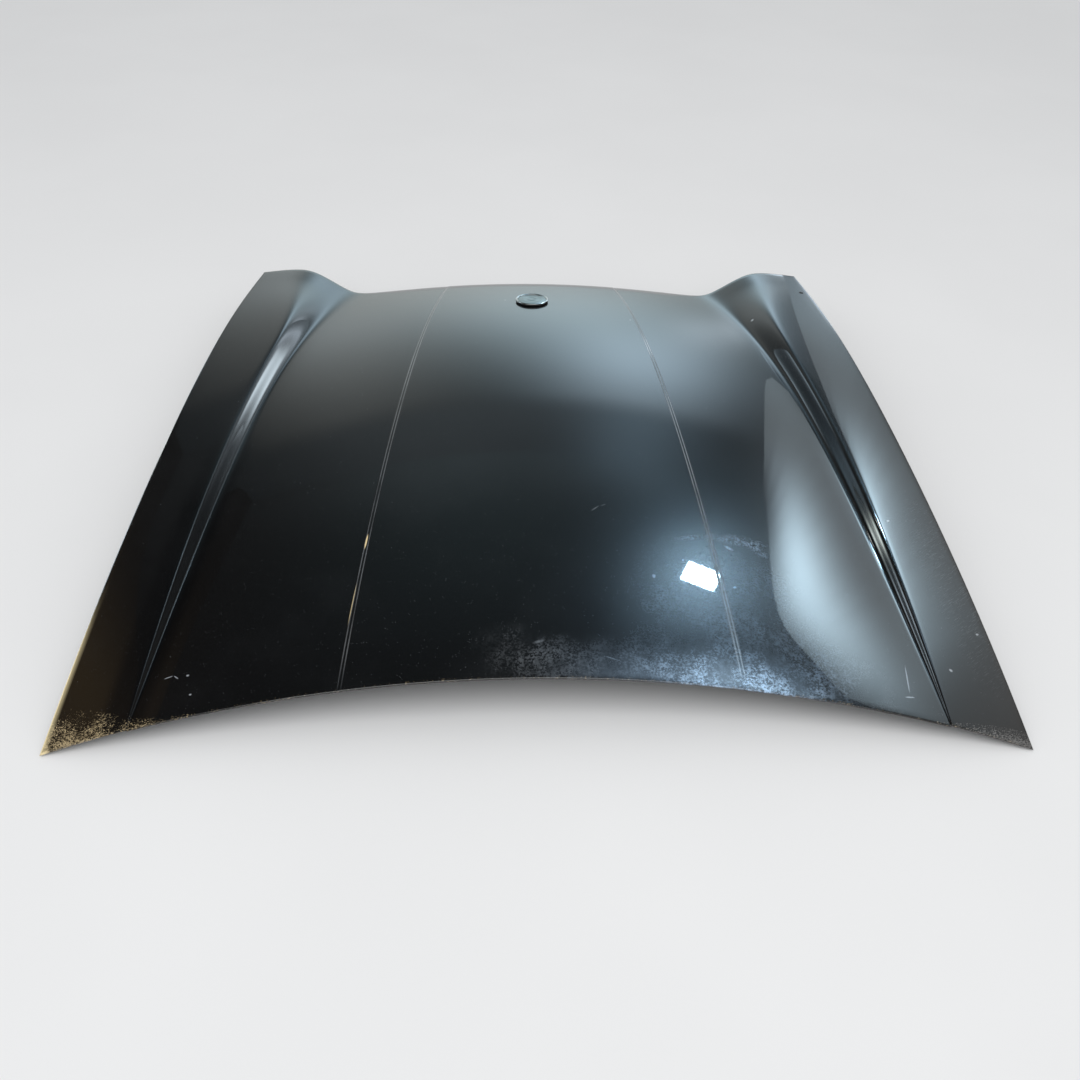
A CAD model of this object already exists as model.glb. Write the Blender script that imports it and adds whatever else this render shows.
import math

import bmesh
import bpy
import numpy as np
from mathutils import Matrix, Vector


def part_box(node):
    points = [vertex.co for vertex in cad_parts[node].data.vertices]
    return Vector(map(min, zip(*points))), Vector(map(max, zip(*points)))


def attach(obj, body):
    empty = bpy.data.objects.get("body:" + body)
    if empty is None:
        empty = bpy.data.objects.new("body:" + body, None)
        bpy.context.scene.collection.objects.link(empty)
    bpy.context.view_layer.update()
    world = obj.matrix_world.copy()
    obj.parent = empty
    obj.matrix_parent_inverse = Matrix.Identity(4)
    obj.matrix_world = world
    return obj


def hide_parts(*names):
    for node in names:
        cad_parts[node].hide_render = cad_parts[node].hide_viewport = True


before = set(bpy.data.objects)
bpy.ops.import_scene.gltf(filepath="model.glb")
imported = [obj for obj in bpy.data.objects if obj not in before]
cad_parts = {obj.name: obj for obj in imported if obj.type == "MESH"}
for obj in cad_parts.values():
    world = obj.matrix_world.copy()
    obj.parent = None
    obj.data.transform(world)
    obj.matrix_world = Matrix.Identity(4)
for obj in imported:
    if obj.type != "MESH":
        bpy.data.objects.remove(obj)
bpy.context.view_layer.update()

scene = bpy.context.scene
scene.view_settings.view_transform = "Standard"
scene.view_settings.look = "None"

# ------------------------------------------------------------- the surface
# The same curves as the solid model's: polynomials in y, lowest power first.
SIDE_X = (0.7387, -0.1304, 0.1461, -0.0788)
FOOT_X = (0.6153, -0.1281, 0.1464, -0.1177)
CREASE_X = (0.3059, -0.0448, 0.0032, -0.0214)
CENTRE_Z = (0.0686, 0.2165, -0.3398, 0.2975, -0.1214)
CROWN = (0.1159, 0.0248, 0.0097)
RISE = (0.0002, 0.0842, -0.0505, -0.0389, 0.0527)
WING_FALL = (0.0216, -0.4090, 0.3492, -0.0477)
NOSE_Y = (1.3418, -0.1498, 0.2642)
REAR_SWEEP = 0.0757
REST_TILT = 0.0139
REST_DROP = -0.00045
CREASE_STEP = 0.0028
FOLD_SHARE = 0.56                                # crisper fold line than the solid's
SHEET, INNER, GAP = 0.0009, 0.0008, 0.0003
HEM, HEM_RETURN = 0.0035, 0.011
LIP_RADIUS, LIP_DROP, LIP_FLANGE = 0.016, 0.034, 0.013
CHANNEL, POCKET = 0.022, 0.0036
RIB, RAMP = 0.021, 0.012
HOLE_R = 0.046
MID_Y = 0.6770
BADGE_Y, BADGE_R = 1.1990, 0.0374
REAR_ROWS = (0.012, 0.022, 0.072, 0.084)
NOSE_ROWS = (0.090, 0.078, 0.046, 0.024)
RIB_ROWS = (0.33, 0.66)


def poly(c, y):
    total = 0.0
    for k in reversed(c):
        total = total * y + k
    return total


def nose_y(x):
    return NOSE_Y[0] + NOSE_Y[1] * x ** 2 + NOSE_Y[2] * x ** 4


def rear_y(x):
    return REAR_SWEEP * (1.0 - (x / SIDE_X[0]) ** 2)


def soft_max(a, b, r):
    return 0.5 * (a + b + np.sqrt((a - b) ** 2 + r * r))


def soft_min(a, b, r):
    return 0.5 * (a + b - np.sqrt((a - b) ** 2 + r * r))


def smooth(a, b, t):
    t = np.clip((t - a) / (b - a), 0.0, 1.0)
    return t * t * (3.0 - 2.0 * t)


def ramp(d, start, end):
    return smooth(start, end, d)


def crease_width(y):
    return 0.006 + 0.010 * smooth(1.33, 0.85, y)


def rise(y):
    return np.maximum(poly(RISE, y), 0.0)


def steepness(y):
    """Slope of the wing's inner wall."""
    return 1.0 + smooth(1.28, 0.95, y)


def wall(y):
    return rise(y) / steepness(y)


def surface(x, y):
    x = np.abs(x)
    y = np.clip(y, -0.02, 1.36)
    z = poly(CENTRE_Z, y) - poly(CROWN, y) * x * x
    h = np.maximum(poly(RISE, y), 0.0005)
    foot = poly(FOOT_X, y)
    k = steepness(y)
    up = soft_max(0.0, k * (x - foot), 0.25 * h)
    top = h - poly(WING_FALL, y) * soft_max(x - foot - h / k, -h, 0.5 * h)
    z = z + soft_min(up, top, (0.53 - 0.18 * k) * h)
    w = FOLD_SHARE * crease_width(y)
    step = FOLD_SHARE * CREASE_STEP * smooth(0.02, 0.16, y) * (0.45 + 0.55 * smooth(1.34, 1.0, y))
    d = (x - poly(CREASE_X, y)) / w              # the fold has two small steps side by side
    z = z + step * (1.0 - 0.5 * smooth(-0.5, -0.12, d) - 0.5 * smooth(0.12, 0.5, d))
    return z - REST_DROP - REST_TILT * y


def normals(x, y):
    e = 0.0015
    gx = (surface(x + e, y) - surface(x - e, y)) / (2 * e)
    gy = (surface(x, y + e) - surface(x, y - e)) / (2 * e)
    n = np.stack([-gx, -gy, np.ones_like(gx)], -1)
    return n / np.linalg.norm(n, axis=-1, keepdims=True)


def slope_factor(x, y):
    return 1.0 / normals(x, y)[..., 2]


def lip_share(x):
    return 1.0 - 0.45 * smooth(0.50, 0.63, np.abs(x))


class Columns:
    """Lines running from the rear to the nose: key lines with evenly shared lines between."""

    def __init__(self, keys, counts):
        a, t = [], []
        for k, n in enumerate(counts):
            a += [k] * n
            t += [i / n for i in range(n)]
        a, t = np.array(a + [len(counts)]), np.array(t + [0.0])
        self.keys = keys
        self.sign = np.concatenate([-np.ones(len(a) - 1), np.ones(len(a))])
        self.a = np.concatenate([a[:0:-1], a])
        self.b = np.minimum(self.a + 1, len(keys) - 1)
        self.t = np.concatenate([t[:0:-1], t])
        self.n = len(self.a)
        self.i = np.arange(self.n)

    def x(self, y):
        v = np.array([k(y) for k in self.keys])
        return v[self.a, self.i] * (1 - self.t) + v[self.b, self.i] * self.t

    def cross(self, row):
        """Signed x and y where each line meets the row."""
        y = np.full(self.n, 0.7)
        for _ in range(16):
            x = self.x(y)
            y = row(x) + 0.0 * x
        return self.sign * self.x(y), y


# ---------------------------------------------------------------- materials
class Nodes:
    def __init__(self, name):
        self.mat = bpy.data.materials.new(name)
        self.mat.use_nodes = True
        self.tree = self.mat.node_tree
        self.bsdf = self.tree.nodes["Principled BSDF"]
        self.out = self.tree.nodes["Material Output"]
        self.coord = self.add("ShaderNodeTexCoord").outputs["Object"]

    def add(self, kind, **props):
        n = self.tree.nodes.new(kind)
        for k, v in props.items():
            setattr(n, k, v)
        return n

    def join(self, a, b):
        self.tree.links.new(a, b)

    def put(self, sock, value):
        if hasattr(value, "is_linked") or isinstance(value, bpy.types.NodeSocket):
            self.join(value, sock)
        else:
            sock.default_value = value

    def math(self, op, a, b=0.0, c=0.0, clamp=False):
        n = self.add("ShaderNodeMath", operation=op, use_clamp=clamp)
        for s, v in zip(n.inputs, (a, b, c)):
            self.put(s, v)
        return n.outputs[0]

    def remap(self, v, a, b, c=0.0, d=1.0, kind="SMOOTHSTEP"):
        n = self.add("ShaderNodeMapRange", interpolation_type=kind)
        self.put(n.inputs["Value"], v)
        for k, q in zip(("From Min", "From Max", "To Min", "To Max"), (a, b, c, d)):
            n.inputs[k].default_value = q
        return n.outputs["Result"]

    def place(self, scale=(1, 1, 1), loc=(0, 0, 0), rot=0.0, vec=None):
        n = self.add("ShaderNodeMapping", vector_type="TEXTURE")
        self.join(vec or self.coord, n.inputs["Vector"])
        n.inputs["Location"].default_value = loc
        n.inputs["Rotation"].default_value = (0, 0, rot)
        n.inputs["Scale"].default_value = scale
        return n.outputs[0]

    def noise(self, scale, detail=3.0, rough=0.55, vec=None, distort=0.0):
        n = self.add("ShaderNodeTexNoise")
        self.join(vec or self.coord, n.inputs["Vector"])
        n.inputs["Scale"].default_value = scale
        n.inputs["Detail"].default_value = detail
        n.inputs["Roughness"].default_value = rough
        n.inputs["Distortion"].default_value = distort
        return n.outputs["Fac"]

    def cells(self, scale, vec=None, out="Distance", feature="F1"):
        n = self.add("ShaderNodeTexVoronoi", feature=feature)
        self.join(vec or self.coord, n.inputs["Vector"])
        n.inputs["Scale"].default_value = scale
        return n.outputs[out]

    def spot(self, x, y, rx, ry, rot=0.0, inner=0.0):
        """1 inside an ellipse on the plan, falling to 0 at its edge."""
        v = self.place((rx, ry, 1), (x, y, 0), rot)
        s = self.add("ShaderNodeSeparateXYZ")
        self.join(v, s.inputs[0])
        r = self.math("SQRT", self.math("ADD", self.math("MULTIPLY", s.outputs[0], s.outputs[0]),
                                         self.math("MULTIPLY", s.outputs[1], s.outputs[1])))
        return self.remap(r, inner, 1.0, 1.0, 0.0)

    def total(self, *vs):
        t = vs[0]
        for v in vs[1:]:
            t = self.math("ADD", t, v)
        return t

    def times(self, *vs):
        t = vs[0]
        for v in vs[1:]:
            t = self.math("MULTIPLY", t, v)
        return t

    def mix(self, fac, a, b):
        n = self.add("ShaderNodeMix", data_type="RGBA")
        self.put(n.inputs[0], fac)
        for s, v in ((n.inputs[6], a), (n.inputs[7], b)):
            if isinstance(v, tuple):
                s.default_value = (*v, 1.0)
            else:
                self.join(v, s)
        return n.outputs[2]

    def bump(self, height, strength, distance, into=None):
        n = self.add("ShaderNodeBump")
        n.inputs["Strength"].default_value = strength
        n.inputs["Distance"].default_value = distance
        self.join(height, n.inputs["Height"])
        if into is not None:
            self.join(into, n.inputs["Normal"])
        return n.outputs[0]

    def set(self, **kw):
        names = {"base": "Base Color", "rough": "Roughness", "metal": "Metallic", "coat": "Coat Weight",
                 "coat_rough": "Coat Roughness", "normal": "Normal", "coat_normal": "Coat Normal",
                 "spec": "Specular IOR Level", "ior": "IOR"}
        for k, v in kw.items():
            s = self.bsdf.inputs[names[k]]
            if isinstance(v, tuple):
                s.default_value = (*v, 1.0)
            elif isinstance(v, (int, float)):
                s.default_value = v
            else:
                self.join(v, s)
        return self.mat


def streaks(m, angle, length, width, lo, hi, seed):
    """Thin straight scratches running along one direction."""
    v = m.place((length, width, 1), (seed, seed * 0.7, 0), angle)
    return m.remap(m.noise(5.0, 1.0, 0.5, v), lo, hi)


def stroke(m, x0, y0, x1, y1, width):
    """One thin scratch between two points of the plan."""
    length = 0.5 * math.hypot(x1 - x0, y1 - y0)
    return m.spot(0.5 * (x0 + x1), 0.5 * (y0 + y1), length, width, math.atan2(y1 - y0, x1 - x0), 0.55)


def paint_material():
    m = Nodes("black_paint")
    # ---- noises shared by the wear masks
    soft = m.noise(7.0, 3.0, 0.6)
    marble = m.math("MULTIPLY_ADD", m.noise(78.0, 5.0, 0.72), 0.42, m.math("MULTIPLY", m.noise(270.0, 2.0, 0.8), 0.58))
    runs = m.noise(52.0, 3.0, 0.6, m.place((1.0, 5.0, 1), (0, 0, 0), -0.12))
    patches = m.remap(m.noise(17.0, 2.0, 0.5), 0.34, 0.60, 0.15, 1.0)
    grain = m.noise(420.0, 2.0, 0.7)
    drift = m.noise(30.0, 3.0, 0.65, m.place((1.0, 3.2, 1)))
    # ---- dusty haze right of the middle and along the rear edge
    under_lamp = m.spot(0.285, -0.47, 0.22, 0.22, 0.0, 0.0)
    rear_band = m.spot(0.24, -0.615, 0.38, 0.11, -0.06, 0.05)
    band_core = m.spot(0.285, -0.615, 0.17, 0.085, -0.06, 0.15)
    band_left = m.spot(-0.02, -0.555, 0.10, 0.06, -0.2, 0.1)
    right_fade = m.spot(0.44, -0.585, 0.12, 0.10, 0.0, 0.1)
    cloud = m.times(m.remap(marble, 0.43, 0.60), patches, m.remap(runs, 0.32, 0.62, 0.45, 1.15))
    wash = m.remap(drift, 0.36, 0.66)
    haze = m.total(m.times(band_core, m.math("ADD", 0.10, m.times(cloud, 0.62))), m.times(rear_band, m.math("ADD", 0.02, m.times(cloud, 0.17))),
                   m.times(rear_band, wash, 0.06), m.times(under_lamp, m.math("ADD", 0.024, m.times(cloud, 0.11))), m.times(band_left, cloud, 0.10),
                   m.times(right_fade, cloud, 0.12))
    # smears right of the middle, ahead of the haze
    arc = m.total(m.times(m.spot(0.335, -0.312, 0.065, 0.018, -0.15, 0.1), 1.0), m.times(m.spot(0.255, -0.312, 0.045, 0.010, 0.15, 0.1), 0.7),
                  m.times(m.spot(0.368, -0.332, 0.030, 0.012, -0.8, 0.1), 0.8))
    smear = m.times(arc, m.remap(marble, 0.46, 0.57), m.remap(grain, 0.30, 0.62, 0.3, 1.0))
    bright = m.total(m.spot(0.3185, -0.3305, 0.012, 0.0045, -0.6, 0.2), m.spot(0.184, -0.403, 0.004, 0.006, 0.0, 0.3),
                     m.spot(0.2362, -0.3655, 0.003, 0.004, 0.0, 0.3), m.spot(0.315, -0.419, 0.004, 0.003, 0.4, 0.3),
                     m.times(m.total(m.spot(0.097, -0.247, 0.013, 0.0016, 0.75, 0.1), m.spot(0.112, -0.238, 0.007, 0.0010, 0.4, 0.1),
                                     m.spot(0.104, -0.566, 0.016, 0.0016, -0.35, 0.1), m.spot(-0.006, -0.537, 0.012, 0.0040, 0.3, 0.0)), 0.35))
    bright = m.times(bright, m.remap(grain, 0.25, 0.60, 0.25, 1.0))
    # ---- scattered dust
    cell = m.cells(330.0)
    specks = m.times(m.remap(cell, 0.10, 0.20, 1.0, 0.0), m.remap(m.noise(95.0, 1.0), 0.60, 0.66))
    crumbs = m.times(m.remap(m.cells(95.0), 0.035, 0.075, 1.0, 0.0), m.remap(m.noise(28.0, 1.0), 0.60, 0.64))
    near_rear = m.spot(0.05, -0.66, 0.95, 0.60, 0.0, 0.0)
    dust = m.total(m.times(specks, m.math("ADD", 0.03, m.times(near_rear, 0.16))), m.times(crumbs, 0.22),
                   m.times(m.remap(soft, 0.42, 0.72), 0.0035))
    # ---- right wing: rubbed, with fine wandering lines
    wing = m.spot(0.69, -0.40, 0.075, 0.30, 0.10, 0.2)
    rubs = m.times(wing, streaks(m, 0.62, 0.070, 0.0045, 0.60, 0.68, 2.3))
    chips = m.total(m.spot(0.700, -0.491, 0.0035, 0.0025, 0.2, 0.3), m.spot(0.636, -0.561, 0.0030, 0.0040, 0.9, 0.3),
                    m.spot(0.502, 0.455, 0.0035, 0.0045, 0.3, 0.3), m.spot(0.612, -0.256, 0.0040, 0.0030, 0.5, 0.3),
                    m.spot(-0.062, 0.531, 0.0030, 0.0030, 0.0, 0.3), m.spot(0.219, 0.428, 0.0030, 0.0026, 0.0, 0.3),
                    m.spot(-0.538, -0.568, 0.0030, 0.0022, 0.0, 0.3), m.spot(-0.527, -0.602, 0.0026, 0.0020, 0.0, 0.3))
    scratch = m.total(stroke(m, 0.5665, -0.548, 0.5600, -0.606, 0.0013), stroke(m, 0.5500, -0.6095, 0.5680, -0.6085, 0.0016),
                      stroke(m, -0.575, -0.571, -0.560, -0.566, 0.0011), stroke(m, -0.560, -0.566, -0.551, -0.573, 0.0011))
    light = m.total(m.times(smear, 0.34), m.times(bright, 0.62), m.times(rubs, 0.075), m.times(chips, 0.55), m.times(scratch, 0.45),
                    haze, dust)
    light = m.math("MULTIPLY", light, 1.0, clamp=True)
    # ---- swirl marks, densest right of the middle
    ring = m.spot(0.268, -0.405, 0.17, 0.17, 0.0, 0.0)
    swirl = m.total(streaks(m, 0.45, 0.050, 0.0016, 0.66, 0.72, 3.1), streaks(m, 1.35, 0.045, 0.0015, 0.67, 0.73, 7.7),
                    streaks(m, 2.45, 0.055, 0.0016, 0.67, 0.73, 1.9))
    light = m.math("ADD", light, m.times(swirl, m.math("ADD", 0.006, m.times(ring, 0.06))), clamp=True)
    cool = m.spot(0.29, -0.50, 0.36, 0.34, 0.0, 0.3)
    # ---- thin pale residue in the two folds of each crease
    split = m.add("ShaderNodeSeparateXYZ")
    m.join(m.coord, split.inputs[0])
    sx_, sy_ = split.outputs[0], m.math("ADD", split.outputs[1], MID_Y)
    line = m.math("MULTIPLY_ADD", sy_, CREASE_X[3], CREASE_X[2])
    line = m.math("MULTIPLY_ADD", line, sy_, CREASE_X[1])
    line = m.math("MULTIPLY_ADD", line, sy_, CREASE_X[0])
    off = m.math("ABSOLUTE", m.math("SUBTRACT", m.math("ABSOLUTE", sx_), line))
    fold = m.math("DIVIDE", m.math("SUBTRACT", off, 0.0026), 0.0009)
    fold = m.math("EXPONENT", m.math("MULTIPLY", m.times(fold, fold), -1.0))
    fold = m.times(fold, m.remap(sy_, 0.035, 0.16), m.remap(drift, 0.30, 0.60, 0.35, 1.0), m.remap(sx_, -0.1, 0.1, 0.75, 1.0))
    light = m.math("ADD", light, m.times(fold, 0.30), clamp=True)
    base = m.mix(light, (0.0022, 0.0023, 0.0028), m.mix(cool, (0.52, 0.56, 0.60), (0.42, 0.62, 0.86)))
    # ---- grit: tan at the rear left corner, grey at the rear right one
    sx = m.add("ShaderNodeSeparateXYZ")
    m.join(m.coord, sx.inputs[0])
    ax, ay = sx.outputs[0], sx.outputs[1]
    rear_line = m.math("MULTIPLY_ADD", m.times(ax, ax), -REAR_SWEEP / SIDE_X[0] ** 2, REAR_SWEEP - MID_Y)
    off_edge = m.math("SUBTRACT", ay, rear_line)
    to_left = m.remap(ax, -0.47, -0.74, 0.0, 1.0)
    to_right = m.remap(ax, 0.56, 0.735, 0.0, 1.0)
    reach_l = m.math("MULTIPLY_ADD", m.times(to_left, to_left), 0.060, 0.005)
    reach_r = m.math("MULTIPLY_ADD", to_right, 0.022, 0.002)
    fine = m.noise(330.0, 3.0, 0.8, m.place((1.0, 0.6, 1), (0, 0, 0), 0.25))
    depth_l = m.math("SUBTRACT", 1.0, m.math("DIVIDE", off_edge, reach_l), clamp=True)
    depth_r = m.math("SUBTRACT", 1.0, m.math("DIVIDE", off_edge, reach_r), clamp=True)
    grit_l = m.times(m.math("GREATER_THAN", depth_l, 0.001), m.remap(m.math("MULTIPLY_ADD", m.times(depth_l, m.math("MULTIPLY_ADD", to_left, 0.8, 0.2)), 0.23, m.math("MULTIPLY_ADD", m.math("SUBTRACT", m.noise(36.0, 2.0), 0.5), 0.35, fine)), 0.625, 0.705))
    grit_r = m.times(m.math("GREATER_THAN", depth_r, 0.001), m.remap(m.math("MULTIPLY_ADD", m.times(depth_r, to_right), 0.17, fine), 0.56, 0.66))
    tan = m.mix(m.remap(marble, 0.40, 0.60), (0.13, 0.095, 0.050), (0.60, 0.47, 0.27))
    base = m.mix(m.math("MULTIPLY", grit_l, 0.80), base, tan)
    base = m.mix(m.math("MULTIPLY", grit_r, 0.42), base, (0.30, 0.29, 0.28))
    # ---- folded rear edge: dull and brown with road dirt
    edge = m.add("ShaderNodeAttribute", attribute_name="edge").outputs["Fac"]
    rear_side = m.remap(off_edge, 0.012, 0.004)
    rusty = m.times(edge, rear_side, m.remap(drift, 0.30, 0.60, 0.45, 1.0))
    base = m.mix(m.times(rusty, m.remap(ax, -0.55, -0.35, 0.25, 0.85)), base, m.mix(m.remap(marble, 0.44, 0.58), (0.010, 0.008, 0.006), (0.036, 0.023, 0.015)))
    # ---- pale dusty rim on the folded left edge near the rear, and warm glints in the left crease
    rim = m.add("ShaderNodeAttribute", attribute_name="rim").outputs["Fac"]
    rim = m.times(rim, m.remap(m.math("MULTIPLY_ADD", ay, -0.115, m.math("ADD", ax, -0.0779)), -0.722, -0.733), m.remap(m.math("ADD", ay, m.math("MULTIPLY", drift, 0.10)), -0.34, -0.52, 0.0, 1.0))
    base = m.mix(m.math("MULTIPLY", rim, 0.90), base, (0.90, 0.75, 0.44))
    glint = m.total(stroke(m, -0.2895, -0.298, -0.2920, -0.338, 0.0018), m.times(stroke(m, -0.2965, -0.405, -0.3020, -0.500, 0.0010), 0.55))
    base = m.mix(glint, base, (0.80, 0.63, 0.34))
    rough = m.math("ADD", 0.26, m.math("MULTIPLY", m.total(light, grit_l, grit_r, rusty), 0.5), clamp=True)
    # ---- slight orange peel and pressing waviness
    ripple = m.times(m.spot(0.69, -0.38, 0.085, 0.36, 0.08, 0.3), m.noise(30.0, 2.0, 0.45, m.place((1.0, 1.7, 1), (0, 0, 0), -0.55)))
    height = m.math("MULTIPLY_ADD", m.noise(240.0, 1.0, 0.5), 0.012, m.noise(3.1, 1.0, 0.4))
    height = m.math("MULTIPLY_ADD", ripple, 0.11, height)
    nrm = m.bump(height, 0.30, 0.0010)
    # ---- the left wing's foot has gone dull towards the rear
    foot = m.math("MULTIPLY_ADD", sy_, FOOT_X[3], FOOT_X[2])
    foot = m.math("MULTIPLY_ADD", foot, sy_, FOOT_X[1])
    foot = m.math("MULTIPLY_ADD", foot, sy_, FOOT_X[0])
    out = m.math("SUBTRACT", m.math("MULTIPLY", sx_, -1.0), foot)
    dull = m.times(m.remap(out, -0.030, -0.010), m.remap(out, 0.055, 0.030), m.remap(sy_, 0.70, 0.45))
    m.set(base=base, rough=rough, spec=0.14, coat=m.math("MULTIPLY_ADD", dull, -0.75, 1.0), coat_rough=0.022, normal=nrm, coat_normal=nrm, ior=1.5)
    return m.mat


def inner_material():
    m = Nodes("inner_black")
    film = m.remap(m.noise(7.0, 6.0, 0.65), 0.38, 0.72)
    speck = m.times(m.remap(m.cells(420.0), 0.12, 0.25, 1.0, 0.0), m.remap(m.noise(70.0, 2.0), 0.58, 0.64))
    runs = m.remap(m.noise(14.0, 4.0, 0.6, m.place((1, 6, 1))), 0.52, 0.70)
    dust = m.math("MULTIPLY", m.total(m.times(film, 0.035), m.times(speck, 0.22), m.times(runs, 0.02)), 1.0, clamp=True)
    base = m.mix(dust, (0.0075, 0.0077, 0.0085), (0.42, 0.38, 0.32))
    rough = m.math("ADD", 0.26, m.math("MULTIPLY", film, 0.18), clamp=True)
    nrm = m.bump(m.noise(300.0, 2.0), 0.12, 0.0002)
    return m.set(base=base, rough=rough, spec=0.5, normal=nrm)


def zinc_material():
    m = Nodes("zinc_plate")
    spangle = m.cells(160.0, None, "Distance")
    stain = m.remap(m.noise(60.0, 5.0, 0.65), 0.45, 0.68)
    base = m.mix(stain, (0.50, 0.50, 0.48), (0.30, 0.27, 0.21))
    base = m.mix(m.remap(m.noise(180.0, 3.0), 0.63, 0.70), base, (0.16, 0.08, 0.04))
    rough = m.math("ADD", 0.30, m.math("MULTIPLY", stain, 0.28), clamp=True)
    nrm = m.bump(spangle, 0.08, 0.0002)
    return m.set(base=base, rough=rough, metal=0.9, normal=nrm)


def rubber_material(name="black_rubber", colour=(0.014, 0.014, 0.014)):
    m = Nodes(name)
    bloom = m.remap(m.noise(80.0, 5.0, 0.65), 0.42, 0.72)
    base = m.mix(m.math("MULTIPLY", bloom, 0.25), colour, (0.11, 0.105, 0.10))
    nrm = m.bump(m.noise(900.0, 2.0), 0.25, 0.0002)
    return m.set(base=base, rough=m.math("ADD", 0.62, m.math("MULTIPLY", bloom, 0.2)), spec=0.4, normal=nrm)


def chrome_material(name, colour, rough):
    m = Nodes(name)
    pits = m.times(m.remap(m.cells(900.0), 0.08, 0.16, 1.0, 0.0), m.remap(m.noise(220.0, 2.0), 0.56, 0.62))
    film = m.remap(m.noise(120.0, 4.0, 0.6), 0.42, 0.70)
    base = m.mix(m.math("MULTIPLY", pits, 0.6), colour, (0.10, 0.10, 0.09))
    return m.set(base=base, metal=1.0, rough=m.math("ADD", rough, m.math("MULTIPLY", film, 0.12)))


PAINT = paint_material()
INNER_PAINT = inner_material()
ZINC = zinc_material()
RUBBER = rubber_material()
MASTIC = rubber_material("grey_mastic", (0.05, 0.05, 0.05))
CHROME = chrome_material("bright_chrome", (0.52, 0.54, 0.54), 0.12)
SATIN = chrome_material("satin_plate", (0.20, 0.23, 0.23), 0.30)


# ------------------------------------------------------------- mesh helpers
def make(name, verts, faces, mat):
    me = bpy.data.meshes.new(name)
    me.from_pydata([tuple(v) for v in verts], [], faces)
    me.update()
    me.materials.append(mat)
    ob = bpy.data.objects.new(name, me)
    scene.collection.objects.link(ob)
    me.shade_smooth()
    ob["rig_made"] = 1
    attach(ob, "root")
    return ob


def grid_faces(nx, ny, start=0):
    f = []
    for j in range(ny - 1):
        for i in range(nx - 1):
            a = start + j * nx + i
            f.append((a, a + 1, a + 1 + nx, a + nx))
    return f


def solidify(ob, t, even=True):
    s = ob.modifiers.new("Sheet", "SOLIDIFY")
    s.thickness = t
    s.offset = -1.0
    s.use_even_offset = even


def sharp(ob, angle=35.0):
    ob.data.set_sharp_from_angle(angle=math.radians(angle))


# --------------------------------------------------------------- outer skin
ROLL = 0.0034
c_ = lambda y: poly(CREASE_X, y)
w_ = lambda y: 0.5 * FOLD_SHARE * crease_width(y)
f_ = lambda y: poly(FOOT_X, y)
s_ = lambda y: poly(SIDE_X, y) - ROLL
keys = [lambda y: 0.0 * y, lambda y: c_(y) - w_(y) - 0.003, lambda y: c_(y) - w_(y), lambda y: c_(y) + w_(y),
        lambda y: c_(y) + w_(y) + 0.003, lambda y: f_(y) - 0.3 * wall(y) - 0.006, lambda y: f_(y) + 0.5 * wall(y),
        lambda y: f_(y) + 1.35 * wall(y) + 0.008, s_]
cols = Columns(keys, [20, 2, 16, 2, 14, 14, 18, 14])
NB = 140


def body_row(t):
    def row(x):
        a = rear_y(x) + ROLL
        return a + (nose_y(x) - a) * t
    return row


def lip_profile(steps):
    a0, a1 = math.radians(16.0), math.radians(88.0)
    pts = []
    for i in range(1, steps + 1):
        a = a0 + (a1 - a0) * i / steps
        pts.append((LIP_RADIUS * (math.sin(a) - math.sin(a0)), LIP_RADIUS * (math.cos(a0) - math.cos(a)), a))
    n = 5
    last = pts[-1]
    for i in range(1, n + 1):
        pts.append((last[0] + 0.0006 * i / n, last[1] + (LIP_DROP - 0.0022 - last[1]) * i / n, math.radians(90)))
    x0, z0 = pts[-1][0], pts[-1][1]
    for i in range(1, 5):                        # foot of the lip turns in
        a = math.radians(90 * i / 4)
        pts.append((x0 - 0.0022 * (1 - math.cos(a)), z0 + 0.0022 * math.sin(a), math.radians(90) + a))
    pts.append((x0 - LIP_FLANGE, LIP_DROP, math.radians(180)))
    return pts


nx = cols.n
verts, down = [], []
for j in range(NB + 1):
    x, y = cols.cross(body_row(j / NB))
    verts.append(np.column_stack([x, y, surface(x, y)]))
    down.append(-normals(x, y))
LIP = lip_profile(8)
lip_x, lip_y = cols.cross(nose_y)
lip_z, lip_k = surface(lip_x, lip_y), lip_share(lip_x)
for fwd, drop, ang in LIP:
    verts.append(np.column_stack([lip_x, lip_y + fwd, lip_z - drop * lip_k]))
    down.append(np.tile([0.0, -math.sin(ang), -math.cos(ang)], (nx, 1)))
ny = NB + 1 + len(LIP)
verts = np.concatenate(verts)
down = np.concatenate(down)
faces = grid_faces(nx, ny)

# folded edge round the rear and the sides
at = lambda i, j: j * nx + i
n_lip_wall = len(LIP) - 5
top_j = NB + n_lip_wall
chain = [at(0, j) for j in range(top_j, 0, -1)] + [at(i, 0) for i in range(nx)] + [at(nx - 1, j) for j in range(1, top_j + 1)]
P = verts[chain]
D = down[chain]
T = np.zeros_like(P)
T[1:-1] = P[2:] - P[:-2]
T[0], T[-1] = P[1] - P[0], P[-1] - P[-2]
seg = P[1:] - P[:-1]


def outward(t, d):
    o = np.cross(d, t)
    return -o / np.linalg.norm(o)


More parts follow.
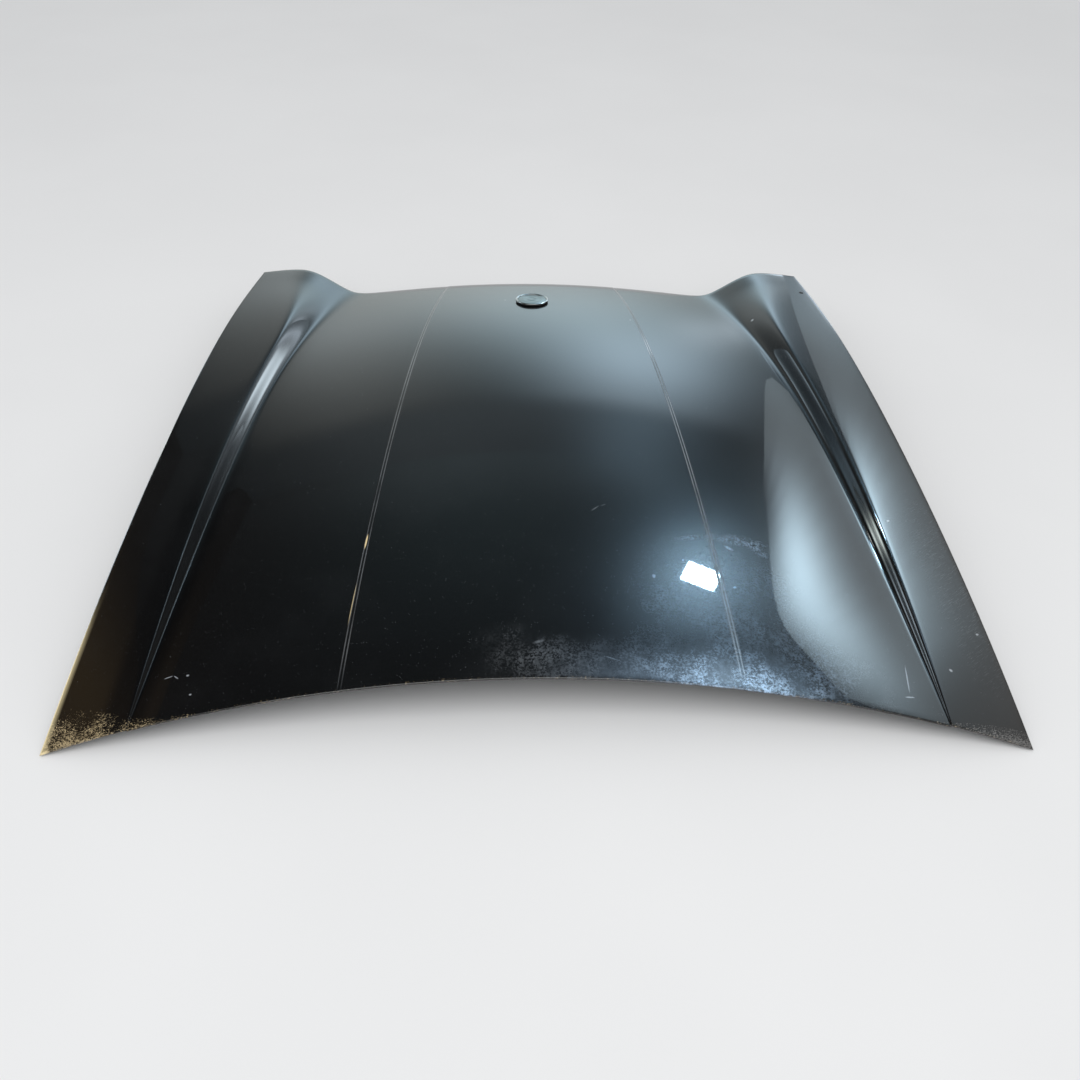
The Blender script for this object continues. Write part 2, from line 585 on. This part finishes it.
O = []
for i in range(len(chain)):
    ts = [seg[k] / np.linalg.norm(seg[k]) for k in (i - 1, i) if 0 <= k < len(seg)]
    os_ = [outward(t, D[i]) for t in ts]
    if len(os_) == 1:
        O.append(os_[0])
    else:
        O.append((os_[0] + os_[1]) / (1.0 + float(os_[0] @ os_[1])))
O = np.array(O)
centre = verts.mean(0)
if float(((P - centre)[:, :2] * O[:, :2]).sum()) < 0:
    O = -O
RING = [(3.4 * math.sin(math.radians(q)), 1.75 - 1.75 * math.cos(math.radians(q))) for q in (18, 36, 54, 72, 90, 112, 135, 158, 180)]
RETURN = [(-3.0, 3.50), (-(HEM_RETURN - ROLL) * 1000, 3.50)]
rings = []
start = len(verts)
extra = [P + O * (a / 1000) + D * (b / 1000) for a, b in RING]
all_v = [verts] + extra
m_len = len(chain)
prev = np.array(chain)
for r in range(len(RING)):
    cur = np.arange(m_len) + start + r * m_len
    for i in range(m_len - 1):
        faces.append((int(prev[i + 1]), int(prev[i]), int(cur[i]), int(cur[i + 1])))
    prev = cur
start += len(RING) * m_len
skip = n_lip_wall + 6
lo_i, hi_i = skip, m_len - skip
for r, (a, b) in enumerate(RETURN):
    all_v.append((P + O * (a / 1000) + D * (b / 1000))[lo_i:hi_i])
    cur = np.arange(hi_i - lo_i) + start
    old = prev[lo_i:hi_i] if r == 0 else prev
    for i in range(len(cur) - 1):
        faces.append((int(old[i + 1]), int(old[i]), int(cur[i]), int(cur[i + 1])))
    prev = cur
    start += hi_i - lo_i
verts = np.concatenate(all_v)
verts[:, 1] -= MID_Y
skin = make("skin", verts, faces, PAINT)
edge_mark = skin.data.attributes.new("edge", "FLOAT", "POINT")
first = nx * ny
values = np.zeros(len(verts))
for r in range(len(RING)):
    values[first + r * m_len:first + (r + 1) * m_len] = min(1.0, max(0.0, (r - 1.5) / 2.0))
values[first + len(RING) * m_len:] = 1.0
edge_mark.data.foreach_set("value", values.astype(np.float32))
rim_mark = skin.data.attributes.new("rim", "FLOAT", "POINT")
values = np.zeros(len(verts))
values[first:first + 6 * m_len] = 1.0
values[np.array(chain)] = 0.5
rim_mark.data.foreach_set("value", values.astype(np.float32))
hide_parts("outer_skin")
solidify(skin, SHEET, even=False)

# -------------------------------------------------------------- inner frame
EDGE = SHEET + 2 * GAP


def free_span(x):
    return rear_y(x) + REAR_ROWS[-1], nose_y(x) - NOSE_ROWS[0]


def channel_share(x, y):
    x = np.abs(x)
    side = poly(SIDE_X, y) - x
    rear = y - rear_y(x)
    nose = nose_y(x) - y
    foot_line = poly(FOOT_X, y) - 0.016
    share = ramp(x, foot_line - 0.030, foot_line)
    share = np.maximum(share, ramp(REAR_ROWS[3] - rear, 0.0, RAMP))
    share = np.maximum(share, ramp(NOSE_ROWS[0] - nose, 0.0, RAMP))
    share = np.maximum(share, ramp(RIB + RAMP - x, 0.0, RAMP))
    share = np.maximum(share, ramp(RIB + RAMP - np.abs(x - poly(CREASE_X, y)), 0.0, RAMP))
    a, b = free_span(x)
    for r in RIB_ROWS:
        share = np.maximum(share, ramp(RIB + RAMP - np.abs(y - (a + (b - a) * r)), 0.0, RAMP))
    return np.minimum(np.minimum(share, ramp(side, 0.012, 0.022)), ramp(rear, 0.012, 0.022))


holes = []
for side in (-1, 1):
    spans = [(0.0, RIB_ROWS[0]), (RIB_ROWS[0], RIB_ROWS[1]), (RIB_ROWS[1], 1.0)]
    for s0, s1 in spans:
        for field in (0, 1):
            for q in (0.30, 0.70):
                y = 0.7
                for _ in range(8):
                    c = poly(CREASE_X, y)
                    f = poly(FOOT_X, y) - 0.046
                    x = 0.5 * c if field == 0 else 0.5 * (c + RIB + RAMP + f)
                    lo, hi = free_span(x)
                    y0 = lo + (hi - lo) * s0 + (RIB + RAMP if s0 > 0 else 0.0)
                    y1 = lo + (hi - lo) * s1 - (RIB + RAMP if s1 < 1 else 0.0)
                    y = y0 + (y1 - y0) * q
                width = (c - 2 * (RIB + RAMP)) if field == 0 else (f - c - RIB - RAMP)
                holes.append((side * x, y, min(HOLE_R, 0.40 * width, 0.19 * (y1 - y0))))
for side in (-1, 1):
    for y in (0.33, 0.52, 0.94, 1.10):
        holes.append((side * (0.5 * (poly(FOOT_X, y) + poly(SIDE_X, y)) + 0.004), y, 0.024))


def inner_depth(x, y):
    side = poly(SIDE_X, y) - np.abs(x)
    rear = y - rear_y(np.abs(x))
    k = slope_factor(x, y)
    near = SHEET + GAP
    base = near + (POCKET - near) * ramp(np.minimum(side, rear), 0.0125, 0.020)
    share = channel_share(x, y)
    depth = base * k + (CHANNEL - base) * share
    for hx, hy, r in holes:                      # pressed rim round each hole
        d = np.sqrt((x - hx) ** 2 + (y - hy) ** 2)
        depth = depth + 0.0018 * ramp(d, r + 0.011, r + 0.003)
    return np.maximum(base * k, np.minimum(depth, surface(x, y) - 0.008))


edge_ = lambda y: poly(SIDE_X, y) - EDGE
keys = [lambda y: 0.0 * y, lambda y: 0.0 * y + RIB, lambda y: 0.0 * y + RIB + RAMP, lambda y: c_(y) - RIB - RAMP,
        lambda y: c_(y) - RIB, lambda y: c_(y) + RIB, lambda y: c_(y) + RIB + RAMP, lambda y: f_(y) - 0.046,
        lambda y: f_(y) - 0.016, lambda y: f_(y) + 1.2 * wall(y) + 0.006, lambda y: poly(SIDE_X, y) - 0.022,
        lambda y: poly(SIDE_X, y) - 0.012, edge_]
icols = Columns(keys, [3, 4, 14, 4, 6, 4, 14, 5, 10, 9, 4, 3])


def span_row(q, shift=0.0):
    def row(x):
        a, b = free_span(x)
        return a + (b - a) * q + shift
    return row


def off_rear(d):
    return lambda x: rear_y(x) + d


def off_nose(d):
    return lambda x: nose_y(x) - d


key_rows = [off_rear(EDGE), off_rear(0.012), off_rear(0.022), off_rear(0.072), off_rear(0.084)]
counts = [3, 4, 5, 4]
for q0, r in zip((0.0, RIB_ROWS[0]), RIB_ROWS):
    key_rows += [span_row(r, -RIB - RAMP), span_row(r, -RIB), span_row(r, RIB), span_row(r, RIB + RAMP)]
    counts += [24, 4, 5, 4]
key_rows += [off_nose(0.090), off_nose(0.078), off_nose(0.046), off_nose(0.024)]
counts += [24, 4, 4, 3]
irows = []
for (a, b), n in zip(zip(key_rows, key_rows[1:]), counts):
    for i in range(n):
        t = i / n
        irows.append(lambda x, a=a, b=b, t=t: a(x) * (1 - t) + b(x) * t)
irows.append(key_rows[-1])
iv = []
for row in irows:
    x, y = icols.cross(row)
    iv.append(np.column_stack([x, y, surface(x, y) - inner_depth(x, y)]))
ex, ey = icols.cross(nose_y)
zl = surface(ex, ey) - LIP_DROP * lip_share(ex)
zl = zl + (SHEET + 2 * GAP + INNER) * slope_factor(ex, ey) * 1.05
front = LIP[-5][0]
back_y, fore_y = ey + front - (LIP_FLANGE + 0.002), ey + front - (SHEET + 0.0012)
last = iv[-1]
for t in (0.33, 0.66):
    e = t * t * (3 - 2 * t)
    iv.append(np.column_stack([ex * t + last[:, 0] * (1 - t), last[:, 1] * (1 - t) + back_y * t, last[:, 2] * (1 - e) + zl * e]))
for t in (0.0, 0.5, 1.0):
    iv.append(np.column_stack([ex, back_y * (1 - t) + fore_y * t, zl]))
iv = np.concatenate(iv)
iv[:, 1] -= MID_Y
inner = make("inner_panel", iv, grid_faces(icols.n, len(irows) + 5), INNER_PAINT)
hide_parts("inner_frame")
solidify(inner, INNER)


def hidden_cylinders(name, items, sides):
    bm = bmesh.new()
    for m4, r, length in items:
        bmesh.ops.create_cone(bm, cap_ends=True, segments=sides, radius1=r, radius2=r, depth=length, matrix=m4)
    me = bpy.data.meshes.new(name)
    bm.to_mesh(me)
    bm.free()
    ob = bpy.data.objects.new(name, me)
    scene.collection.objects.link(ob)
    return ob


def bake_cut(ob, cutter):
    b = ob.modifiers.new("Cut", "BOOLEAN")
    b.operation = "DIFFERENCE"
    b.solver = "EXACT"
    b.object = cutter
    dg = bpy.context.evaluated_depsgraph_get()
    me = bpy.data.meshes.new_from_object(ob.evaluated_get(dg))
    ob.modifiers.clear()
    ob.data = me
    bpy.data.objects.remove(cutter, do_unlink=True)


items = []
for hx, hy, r in holes:
    zz = float(surface(hx, hy)) - (CHANNEL if r < 0.03 else POCKET)
    items.append((Matrix.Translation((hx, hy - MID_Y, zz)), r, 0.034))
bake_cut(inner, hidden_cylinders("cut_inner", items, 56))
sharp(inner, 40)

# -------------------------------------------------------------------- badge
slope = float((surface(0, BADGE_Y + 0.02) - surface(0, BADGE_Y - 0.02)) / 0.04)
lo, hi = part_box("badge_ring")
mid = (lo + hi) / 2
lo_p, hi_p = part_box("badge_base")
TILT = Matrix.Rotation(math.atan(slope), 4, "X")
N = TILT.to_3x3() @ Vector((0, 0, 1))
BASE_AT = Vector((0.0, BADGE_Y - MID_Y, float(surface(0.0, BADGE_Y))))


def lathe(name, profile, steps, mat, matrix, closed=False):
    n = len(profile)
    v, f = [], []
    for k in range(steps):
        a = 2 * math.pi * k / steps
        for r, zz in profile:
            v.append(matrix @ Vector((r * math.cos(a), r * math.sin(a), zz)))
    last = n if closed else n - 1
    for k in range(steps):
        k2 = (k + 1) % steps
        for i in range(last):
            i2 = (i + 1) % n
            f.append((k * n + i, k * n + i2, k2 * n + i2, k2 * n + i))
    ob = make(name, v, f, mat)
    bm = bmesh.new()
    bm.from_mesh(ob.data)
    bmesh.ops.remove_doubles(bm, verts=bm.verts, dist=1e-6)
    bmesh.ops.dissolve_degenerate(bm, dist=1e-7, edges=bm.edges)
    bmesh.ops.recalc_face_normals(bm, faces=bm.faces)
    bm.to_mesh(ob.data)
    bm.free()
    return ob


def rounded(points, r, n=3):
    """Profile with each inner corner rounded."""
    out = [points[0]]
    for a, b, c in zip(points, points[1:], points[2:]):
        a, b, c = Vector(a), Vector(b), Vector(c)
        u, w = (a - b), (c - b)
        k = min(r, 0.45 * u.length, 0.45 * w.length)
        p, q = b + u.normalized() * k, b + w.normalized() * k
        for i in range(n + 1):
            t = i / n
            out.append(tuple((p * (1 - t) ** 2) + (b * 2 * t * (1 - t)) + (q * t * t)))
    out.append(points[-1])
    return out


ring_lo = min((Vector(v.co) - BASE_AT).dot(N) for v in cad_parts["badge_ring"].data.vertices)
M = Matrix.Translation(BASE_AT) @ TILT @ Matrix.Translation((0, 0, ring_lo))
R = BADGE_R
ring = lathe("badge_rim", rounded([(R - 0.0044, 0.0), (R, 0.0), (R, 0.0011), (R - 0.0021, 0.0026), (R - 0.0044, 0.0012), (R - 0.0044, 0.0)], 0.0006)[:-1],
             96, CHROME, M, closed=True)
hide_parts("badge_ring")
Rp = R - 0.0050
plate = lathe("badge_face", rounded([(0.0, 0.0014), (0.0080, 0.0013), (0.0092, 0.0019), (0.0104, 0.0012), (0.0205, 0.0010), (0.0214, 0.0015),
                                     (0.0223, 0.0010), (Rp, 0.0008), (Rp, 0.0), (0.0, 0.0)], 0.0003, 2), 96, SATIN, M)
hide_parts("badge_plate")

for name, mat in (("badge_base", RUBBER), ("badge_grommet_left", RUBBER), ("badge_grommet_right", RUBBER)):
    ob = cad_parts[name]
    ob.data.materials.clear()
    ob.data.materials.append(mat)

# small rubber plug in the right wing's front corner
PLUG = (0.633, 0.555)
top = float(surface(PLUG[0], PLUG[1] + MID_Y))
turn = Vector((0, 0, 1)).rotation_difference(Vector(normals(np.array([PLUG[0]]), np.array([PLUG[1] + MID_Y]))[0])).to_matrix().to_4x4()
plug = lathe("wing_plug", rounded([(0.0, 0.0012), (0.0020, 0.0011), (0.0040, 0.0007), (0.0052, 0.0002), (0.0052, -0.0003), (0.0, -0.0003)], 0.0003, 2),
             40, RUBBER, Matrix.Translation((PLUG[0], PLUG[1], top)) @ turn)

# ------------------------------------------------------- carried-over nodes
for name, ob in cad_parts.items():
    if ob.hide_render:
        continue
    if name.startswith(("hinge_", "striker_", "latch_")):
        mat = ZINC
    elif name.startswith("bump_"):
        mat = RUBBER
    elif name.startswith("mastic"):
        mat = MASTIC
    else:
        continue
    ob.data.materials.clear()
    ob.data.materials.append(mat)
    ob.data.shade_smooth()
    sharp(ob, 35)

# -------------------------------------------------------------------- stage
bpy.ops.mesh.primitive_plane_add(size=60, location=(0, 0, -0.0005))
floor = bpy.context.object
floor.name = "floor"
fm = Nodes("floor_pale")
fm.set(base=fm.mix(fm.remap(fm.noise(1.2, 3.0), 0.3, 0.7), (0.80, 0.80, 0.80), (0.82, 0.82, 0.82)), rough=1.0, spec=0.0)
floor.data.materials.append(fm.mat)


def pooled_panel(name, corners, pools, level=(0.0, 0.0, 0.0), axes=(0, 2), fade=None, high=()):
    """Light panel seen only in reflections: soft pools of light on a dim sheet.
    pools: centre and spread along the two axes, then colour."""
    me = bpy.data.meshes.new(name)
    n = len(corners) // 2
    me.from_pydata(corners, [], [(0, 1, 2, 3)] if n == 2 else [(i, i + 1, n + i + 1, n + i) for i in range(n - 1)])
    ob = bpy.data.objects.new(name, me)
    scene.collection.objects.link(ob)
    m = Nodes(name)
    m.tree.nodes.remove(m.bsdf)
    sp = m.add("ShaderNodeSeparateXYZ")
    m.join(m.coord, sp.inputs[0])
    u, v = sp.outputs[axes[0]], sp.outputs[axes[1]]
    total = None
    for u0, v0, su, sv, col in pools:
        a = m.math("MULTIPLY_ADD", u, 1.0 / su, -u0 / su)
        b = m.math("MULTIPLY_ADD", v, 1.0 / sv, -v0 / sv)
        r2 = m.math("MULTIPLY_ADD", a, a, m.math("MULTIPLY", b, b))
        g = m.math("EXPONENT", m.math("MULTIPLY", r2, -1.0))
        n = m.add("ShaderNodeVectorMath", operation="SCALE")
        n.inputs[0].default_value = col
        m.join(g, n.inputs["Scale"])
        if total is None:
            total = n.outputs[0]
        else:
            ad = m.add("ShaderNodeVectorMath", operation="ADD")
            m.join(total, ad.inputs[0])
            m.join(n.outputs[0], ad.inputs[1])
            total = ad.outputs[0]
    if fade:
        n = m.add("ShaderNodeVectorMath", operation="SCALE")
        m.join(total, n.inputs[0])
        m.join(m.remap(v, fade[0], fade[1], 1.0, 0.0), n.inputs["Scale"])
        total = n.outputs[0]
    for u0, su, col in high:                     # pools above the faded part only
        a = m.math("MULTIPLY_ADD", u, 1.0 / su, -u0 / su)
        g = m.math("EXPONENT", m.math("MULTIPLY", m.math("MULTIPLY", a, a), -1.0))
        n = m.add("ShaderNodeVectorMath", operation="SCALE")
        n.inputs[0].default_value = col
        m.join(m.times(g, m.remap(v, fade[0], fade[1])), n.inputs["Scale"])
        ad = m.add("ShaderNodeVectorMath", operation="ADD")
        m.join(total, ad.inputs[0])
        m.join(n.outputs[0], ad.inputs[1])
        total = ad.outputs[0]
    ad = m.add("ShaderNodeVectorMath", operation="ADD")
    m.join(total, ad.inputs[0])
    ad.inputs[1].default_value = level
    em = m.add("ShaderNodeEmission")
    m.join(ad.outputs[0], em.inputs["Color"])
    m.join(em.outputs[0], m.out.inputs["Surface"])
    me.materials.append(m.mat)
    ob.visible_camera = False
    ob.visible_shadow = False
    ob.visible_diffuse = False
    return ob


FRONT, RIGHT, LEFT, TOP = 3.0, 2.12, -2.3, 2.6
pooled_panel("panel_front", [(LEFT, FRONT, 0.0), (RIGHT, FRONT, 0.0), (RIGHT, FRONT, TOP), (LEFT, FRONT, TOP)],
             [(-0.2, 0.2, 1.5, 0.9, (0.56, 0.60, 0.58)), (0.35, 1.0, 0.9, 0.8, (1.05, 1.42, 1.60)),
              (0.85, 1.6, 0.6, 0.55, (1.7, 2.25, 2.7)), (-1.2, 1.3, 0.8, 1.0, (0.56, 0.60, 0.59)),
              (1.18, 0.80, 0.25, 0.35, (0.6, 0.7, 0.8)), (1.47, 0.48, 0.16, 0.22, (2.4, 2.8, 3.2)), (-1.3, 0.8, 0.5, 0.5, (0.16, 0.20, 0.23))],
             level=(0.04, 0.045, 0.045), axes=(0, 2), fade=(1.90, 2.20), high=((0.9, 0.45, (0.40, 0.62, 0.80)), (-0.6, 1.2, (0.22, 0.27, 0.30))))
# the right-hand sheet follows a bent line overhead
bend = [(3.0, 2.03, 1.35), (2.75, 1.98, 1.60), (2.5, 1.92, 1.80), (2.25, 1.86, 1.88), (2.0, 1.80, 1.9), (1.75, 1.75, 1.9), (1.5, 1.71, 1.9), (1.3, 1.695, 1.9),
        (1.15, 1.705, 1.9), (1.0, 1.75, 1.9), (0.85, 1.82, 1.9), (0.65, 1.90, 1.95), (0.4, 2.02, 2.05), (0.0, 2.10, 2.12), (-1.6, 2.12, 2.12)]
pooled_panel("panel_right", [(x, y, TOP) for y, x, _ in bend] + [(x, y, 0.0) for y, _, x in bend],
             [(1.42, 2.18, 0.85, 0.34, (8.0, 10.8, 12.6)), (1.2, 1.9, 2.4, 0.65, (1.0, 1.12, 1.18)), (0.0, 1.2, 1.5, 0.5, (0.60, 0.56, 0.52)),
              (2.9, 1.1, 0.6, 0.6, (0.68, 0.88, 1.0)), (2.46, 0.32, 0.10, 0.18, (7.0, 8.2, 9.0)),
              (2.72, 0.50, 0.14, 0.32, (2.4, 2.8, 3.2)), (2.1, 0.30, 0.4, 0.30, (0.40, 0.46, 0.52))],
             level=(0.03, 0.03, 0.03), axes=(1, 2))
pooled_panel("panel_left", [(LEFT, -1.6, 0.0), (LEFT, FRONT, 0.0), (LEFT, FRONT, TOP), (LEFT, -1.6, TOP)],
             [(0.0, 2.0, 1.2, 0.5, (0.28, 0.18, 0.07)), (0.5, 0.40, 0.5, 0.25, (5.0, 6.0, 6.7)), (1.80, 0.36, 0.15, 0.20, (11.0, 12.5, 12.0)),
              (2.3, 0.45, 0.25, 0.30, (0.45, 0.65, 0.80)), (3.0, 0.95, 0.25, 0.35, (2.1, 2.7, 3.1)), (1.15, 0.36, 0.35, 0.22, (4.5, 5.6, 6.4)), (2.5, 0.40, 0.5, 0.35, (0.04, 0.08, 0.12))],
             level=(0.030, 0.026, 0.021), axes=(1, 2))
pooled_panel("panel_top", [(LEFT, -0.9, TOP), (RIGHT, -0.9, TOP), (RIGHT, FRONT, TOP), (LEFT, FRONT, TOP)],
             [(-0.3, 2.2, 1.1, 1.4, (0.09, 0.15, 0.17)), (1.1, 1.4, 0.45, 0.8, (0.35, 0.55, 0.75)), (1.3, 0.35, 0.35, 0.25, (2.2, 3.1, 3.8)),
              (0.7, 0.35, 0.35, 0.22, (0.9, 1.3, 1.75)), (0.9, 3.0, 0.45, 0.50, (0.36, 0.56, 0.72)), (-0.6, 3.0, 1.2, 0.60, (0.18, 0.22, 0.24))],
             level=(0.035, 0.034, 0.031), axes=(0, 1))


def area(name, loc, aim, size, power, colour=(1, 1, 1), spread=180.0):
    d = bpy.data.lights.new(name, "AREA")
    d.shape = "RECTANGLE"
    d.size, d.size_y = size
    d.energy = power
    d.color = colour
    d.spread = math.radians(spread)
    ob = bpy.data.objects.new(name, d)
    scene.collection.objects.link(ob)
    ob.location = loc
    ob.rotation_euler = (Vector(aim) - Vector(loc)).to_track_quat("-Z", "Y").to_euler()
    ob.visible_camera = False
    ob.visible_diffuse = spread > 90.0
    return ob


area("key_overhead", (0.0, -1.7, 3.7), (0, 0.2, 0), (3.4, 3.0), 60.0)
area("lamp_small", (1.17, 1.55, 2.55), (0.26, -0.40, 0.08), (0.23, 0.20), 1.0, (0.47, 0.76, 1.0), 26.0)
area("lamp_groove", (-1.42, 1.95, 2.55), (0.585, -0.27, 0.11), (0.10, 0.30), 0.03, (0.97, 1.0, 0.94), 16.0)
area("strip_groove", (-1.0, 0.85, 2.55), (0.605, -0.45, 0.09), (0.4, 0.9), 0.03, (0.86, 0.94, 1.0), 14.0)

world = bpy.data.worlds.new("studio")
scene.world = world
world.use_nodes = True
wt = world.node_tree
bg = wt.nodes["Background"]
tc = wt.nodes.new("ShaderNodeTexCoord")
sp = wt.nodes.new("ShaderNodeSeparateXYZ")
cr = wt.nodes.new("ShaderNodeValToRGB")
wt.links.new(tc.outputs["Generated"], sp.inputs[0])
wt.links.new(sp.outputs[2], cr.inputs[0])
e = cr.color_ramp.elements
e[0].position, e[0].color = 0.05, (0.95, 0.96, 0.97, 1)
e[1].position, e[1].color = 0.60, (0.72, 0.73, 0.74, 1)
wt.links.new(cr.outputs[0], bg.inputs["Color"])
bg.inputs["Strength"].default_value = 0.95

# ------------------------------------------------------------------- camera
CAM = (-0.04811, -1.56209, 1.23772)
PITCH, YAW, ROLL_ANGLE, FOCAL = (math.radians(42.34036), math.radians(2.23421), math.radians(1.51589), 1001.72)
fwd = Vector((math.sin(YAW) * math.cos(PITCH), math.cos(YAW) * math.cos(PITCH), -math.sin(PITCH)))
right = Vector((math.cos(YAW), -math.sin(YAW), 0.0))
up = right.cross(fwd)
r2 = right * math.cos(ROLL_ANGLE) + up * math.sin(ROLL_ANGLE)
u2 = -right * math.sin(ROLL_ANGLE) + up * math.cos(ROLL_ANGLE)
cam_data = bpy.data.cameras.new("camera")
cam_data.sensor_width = 36.0
cam_data.lens = 36.0 * FOCAL / 1080.0
cam = bpy.data.objects.new("camera", cam_data)
scene.collection.objects.link(cam)
cam.matrix_world = Matrix.Translation(CAM) @ Matrix((r2, u2, -fwd)).transposed().to_4x4()
scene.camera = cam

bpy.context.view_layer.update()
